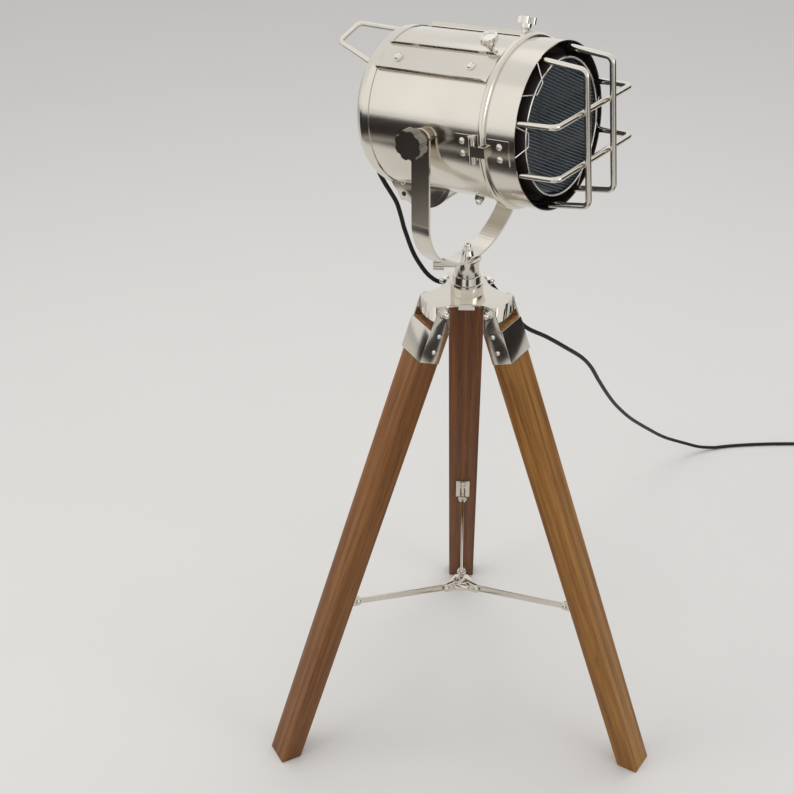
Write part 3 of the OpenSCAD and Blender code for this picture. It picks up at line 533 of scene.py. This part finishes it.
# guard: two upright and two level wires, each from its root on the hood's wall, out, across and back in
guard = {"wire": 0.004, "rootX": 0.1, "side": 0.031, "level": 0.032, "levelFront": 0.183, "bend": 0.009,
    "straight": 0.008, "uprightIn": 0.0099, "levelIn": 0.0039}
rootX, straightX = guard["rootX"], guard["rootX"] + guard["straight"]
uprightWires, levelWires = [], []
for side in (-1, 1):
    y, x = side * guard["side"], guard["levelFront"] + 2 * guard["wire"]
    z = math.sqrt(front["wall"] ** 2 - y * y) - guard["wire"]
    zFront = z - guard["uprightIn"]
    uprightWires.append(tubeAlong("uprightWire", bentLine([(rootX, y, z), (straightX, y, z), (x, y, zFront),
        (x, y, -zFront), (straightX, y, -z), (rootX, y, -z)], guard["bend"]), guard["wire"], 24))
    z, x = side * guard["level"], guard["levelFront"]
    y = math.sqrt(front["wall"] ** 2 - z * z) - guard["wire"]
    yFront = y - guard["levelIn"]
    levelWires.append(tubeAlong("levelWire", bentLine([(rootX, -y, z), (straightX, -y, z), (x, -yFront, z),
        (x, yFront, z), (straightX, y, z), (rootX, y, z)], guard["bend"]), guard["wire"], 24))
for wires, name, node in ((uprightWires, "guardUprights", "guard_uprights"),
        (levelWires, "guardLevels", "guard_levels")):
    dress(smooth(ontoHead(joined(wires)), 50), name, "hood", nickel, slotOf[node], node)

# wire handle on the rear cap: its feet, how far it reaches and narrows, its turn round the drum and its rise
handle = {"wire": 0.0036, "feet": 0.039, "sunk": 0.003, "reach": 0.056, "narrow": 0.016, "bend": 0.008, "turn": 16,
    "rise": 14, "root": (-0.110, 0, 0.087)}
gripEnd = handle["feet"] - handle["narrow"]
grip = bentLine([(handle["sunk"], handle["feet"], 0), (-handle["reach"], gripEnd, 0), (-handle["reach"], -gripEnd, 0),
    (handle["sunk"], -handle["feet"], 0)], handle["bend"])
backHandle = ontoHead(tubeAlong("backHandle", grip, handle["wire"], 24),
    Matrix.Rotation(math.radians(handle["turn"]), 4, "X") @ Matrix.Translation(handle["root"])
    @ Matrix.Rotation(math.radians(handle["rise"]), 4, "Y"))
dress(smooth(backHandle, 50), "backHandle", "head", nickel, slotOf["rear_handle"], "rear_handle")
print("lens, guard and handle made")

# thumbscrews on the drum's top; steps of the shank: from, to, first radius, last radius
topScrew = {"x": 0.0637, "turn": 20.7, "seat": 0.1023, "headBase": 0.016, "headRadius": 0.0115, "headDepth": 0.008,
    "flutes": 36, "fluteIn": 0.955, "rim": 0.0022, "rimUp": 0.0006, "wall": 0.0012, "dish": 0.0016, "edge": 0.0004,
    "steps": ((0, 0.003, 0.0066, 0.0060), (0.003, 0.016, 0.0038, 0.0038), (0.0085, 0.0165, 0.0062, 0.0072))}


# fluted head with a dished top, on its shank
def thumbScrew():
    t = topScrew
    bpy.ops.mesh.primitive_cylinder_add(vertices=t["flutes"] * 2, radius=t["headRadius"], depth=t["headDepth"],
        location=(0, 0, t["headBase"] + t["headDepth"] / 2))
    head = settle(bpy.context.object)
    for v in head.data.vertices:
        if round(math.atan2(v.co.y, v.co.x) / (math.pi / t["flutes"])) % 2:
            v.co.x, v.co.y = v.co.x * t["fluteIn"], v.co.y * t["fluteIn"]
    bpy.ops.object.mode_set(mode="EDIT")
    bpy.ops.mesh.select_all(action="DESELECT")
    bpy.ops.object.mode_set(mode="OBJECT")
    for face in head.data.polygons:
        face.select = face.normal.z > 0.9
    bpy.ops.object.mode_set(mode="EDIT")
    bpy.ops.mesh.inset(thickness=t["rim"])
    bpy.ops.transform.translate(value=(0, 0, t["rimUp"]))
    bpy.ops.mesh.inset(thickness=t["wall"])
    bpy.ops.transform.translate(value=(0, 0, -t["dish"] - t["rimUp"]))
    bpy.ops.object.mode_set(mode="OBJECT")
    parts = [head]
    for low, high, wide, narrow in t["steps"]:
        parts.append(bevelled(rod((0, 0, low), (0, 0, high), wide, 40, narrow), t["edge"]))
    return smooth(joined(parts))


for name, node, side in (("nearThumbScrew", "near_top_screw", 1), ("farThumbScrew", "far_top_screw", -1)):
    screw = ontoHead(thumbScrew(), Matrix.Rotation(math.radians(side * topScrew["turn"]), 4, "X")
        @ Matrix.Translation((topScrew["x"], 0, topScrew["seat"])))
    dress(screw, name, "head", brightNickel, slotOf[node], node)

# plate on each side of the housing: a lip along its top, sloping ends, a screw, and a dark disk where the hole is,
# painted shade of the hole
sidePlate = {"left": -0.107, "right": -0.045, "top": -0.0765, "low": -0.117, "y": 0.0436, "depth": 0.0012,
    "lip": 0.006, "slopeBack": 0.018, "slopeFront": 0.004, "edge": 0.0004, "screw": (-0.083, -0.091),
    "screwRadius": 0.0042, "screwFlat": 0.55, "hole": (-0.083, -0.1075), "holeRadius": 0.0034,
    "holeY": (0.0444, 0.0452), "holeEdge": 0.0002}


def housingPlate(side):
    p = sidePlate
    middle, length = (p["left"] + p["right"]) / 2, p["right"] - p["left"]
    bpy.ops.mesh.primitive_cube_add(size=1,
        location=(middle, side * (p["y"] + p["depth"] / 2), (p["top"] + p["low"]) / 2))
    plate = bpy.context.object
    plate.scale = (length, p["depth"], p["top"] - p["low"])
    settle(plate)
    for v in plate.data.vertices:
        if v.co.z < (p["top"] + p["low"]) / 2:
            v.co.x += p["slopeBack"] if v.co.x < middle else -p["slopeFront"]
    bpy.ops.mesh.primitive_cube_add(size=1, location=(middle, side * (p["y"] + p["lip"] / 2), p["top"]))
    lip = bpy.context.object
    lip.scale = (length, p["lip"], p["depth"])
    settle(lip)
    parts = [bevelled(plate, p["edge"]), bevelled(lip, p["edge"])]
    bpy.ops.mesh.primitive_uv_sphere_add(segments=24, ring_count=12, radius=p["screwRadius"],
        location=(p["screw"][0], side * (p["y"] + p["depth"]), p["screw"][1]))
    bpy.context.object.scale = (1, p["screwFlat"], 1)
    parts.append(settle(bpy.context.object))
    return smooth(joined(parts))


# a dark brown disk standing just proud of the plate: painted shade where the hole is, not an opening
def holeShadeDisk(side):
    (x, z), (inner, outer) = sidePlate["hole"], sidePlate["holeY"]
    return bevelled(rod((x, side * inner, z), (x, side * outer, z), sidePlate["holeRadius"]), sidePlate["holeEdge"])


dress(ontoHead(joined([housingPlate(-1), housingPlate(1)])), "housingPlates", "head", nickel, slotOf["housing"])
# the dark disks on both plates are painted shade of the holes
dress(smooth(ontoHead(joined([holeShadeDisk(-1), holeShadeDisk(1)]))), "holeShadeDisks", "head", brown, slotOf["lens_seat"])
print("small pieces made")

studio = {"floor": (0.80, 0.79, 0.77), "floorSize": 14, "sky": (0.88, 0.88, 0.88), "diffuse": 0.7,
    "aim": (0, 0, 0.75), "cardPale": (0.5, 0.47, 0.43), "cardDark": (0.018, 0.015, 0.014), "cardFade": 0.16}
bpy.ops.mesh.primitive_plane_add(size=studio["floorSize"], location=(0, 1.0, 0))
floor = settle(bpy.context.object)
floor.name = "floor"
floorFinish = Finish("floorFinish")
floorFinish.set(Base_Color=floorFinish.mix(floorFinish.noise(floorFinish.place(), 3, 3), studio["floor"],
    [c * 0.97 for c in studio["floor"]]), Roughness=0.75, Specular_IOR_Level=0)
floor.data.materials.append(floorFinish.material)

# the sky is full strength for the camera, reflections and clear pieces, and weaker as light on the object
world = bpy.data.worlds.new("studioWorld")
bpy.context.scene.world = world
world.use_nodes = True
back = world.node_tree.nodes["Background"]
back.inputs["Color"].default_value = (*studio["sky"], 1)
path = world.node_tree.nodes.new("ShaderNodeLightPath")
strength = None
for ray in ("Is Camera Ray", "Is Glossy Ray", "Is Transmission Ray"):
    step = world.node_tree.nodes.new("ShaderNodeMath")
    step.operation = "MULTIPLY_ADD" if strength is None else "MAXIMUM"
    world.node_tree.links.new(path.outputs[ray], step.inputs[0])
    if strength is None:
        step.inputs[1].default_value = 1 - studio["diffuse"]
        step.inputs[2].default_value = studio["diffuse"]
    else:
        world.node_tree.links.new(strength, step.inputs[1])
    strength = step.outputs[0]
world.node_tree.links.new(strength, back.inputs["Strength"])

# the mirror images of the two big lamps would clip on the plate, so reflections see faint lamps close before them
for name, place, size, power, colour, mirrored in (
        ("keyLight", (-2.3, -0.9, 2.2), 2.4, 17, (1, 0.98, 0.95), False),
        ("keyGlow", (-2.25, -0.88, 2.16), 2.4, 3.2, (1, 0.98, 0.95), True),
        ("fillLight", (2.4, -1.6, 1.7), 1.3, 8, (0.95, 0.97, 1), True),
        ("topLight", (0.2, 0.9, 3.1), 2.2, 20, (1, 1, 1), False),
        ("topGlow", (0.2, 0.88, 3.05), 2.2, 3, (1, 1, 1), True)):
    bpy.ops.object.light_add(type="AREA", location=place)
    lamp = bpy.context.object
    lamp.name = name
    lamp.data.size, lamp.data.energy, lamp.data.color = size, power, colour
    lamp.visible_glossy = mirrored
    lamp.rotation_euler = (Vector(studio["aim"]) - Vector(place)).to_track_quat("-Z", "Y").to_euler()

# dark cards that only reflections see, for the dark bands on the plate: place, turn, size, height of the fade
for name, place, turn, size, fade in (
        ("cardLeft", (-1.25, -0.75, 0.53), (90, 0, 90), (1.9, 0.76), 0.22),
        ("patchLeft", (-1.15, -0.75, 0.004), (0, 0, 0), (1.4, 0.9), -1),
        ("patchRight", (1.15, -0.75, 0.004), (0, 0, 0), (1.4, 0.9), -1),
        ("cardRight", (2.3, 1.0, 0.75), (90, 0, 80), (3.4, 1.5), -0.2),
        ("cardFront", (0.1, -2.6, 0.55), (90, 0, 0), (1.0, 0.7), 0.1)):
    bpy.ops.mesh.primitive_plane_add(size=1, location=place, rotation=[math.radians(a) for a in turn])
    card = bpy.context.object
    card.scale = (*size, 1)
    settle(card)
    card.name = name
    cardFinish = Finish(name + "Finish")
    height = cardFinish.add("ShaderNodeSeparateXYZ", {}, {0: cardFinish.place()}, 2)
    cardFinish.set(Base_Color=cardFinish.ramp(height - fade, (0.0, studio["cardPale"]),
        (studio["cardFade"], studio["cardDark"])), Roughness=0.9)
    card.data.materials.append(cardFinish.material)
    card.visible_camera = False
    card.visible_diffuse = False
    card.visible_shadow = False
bpy.context.scene.view_settings.view_transform = "Standard"
print("studio lit")
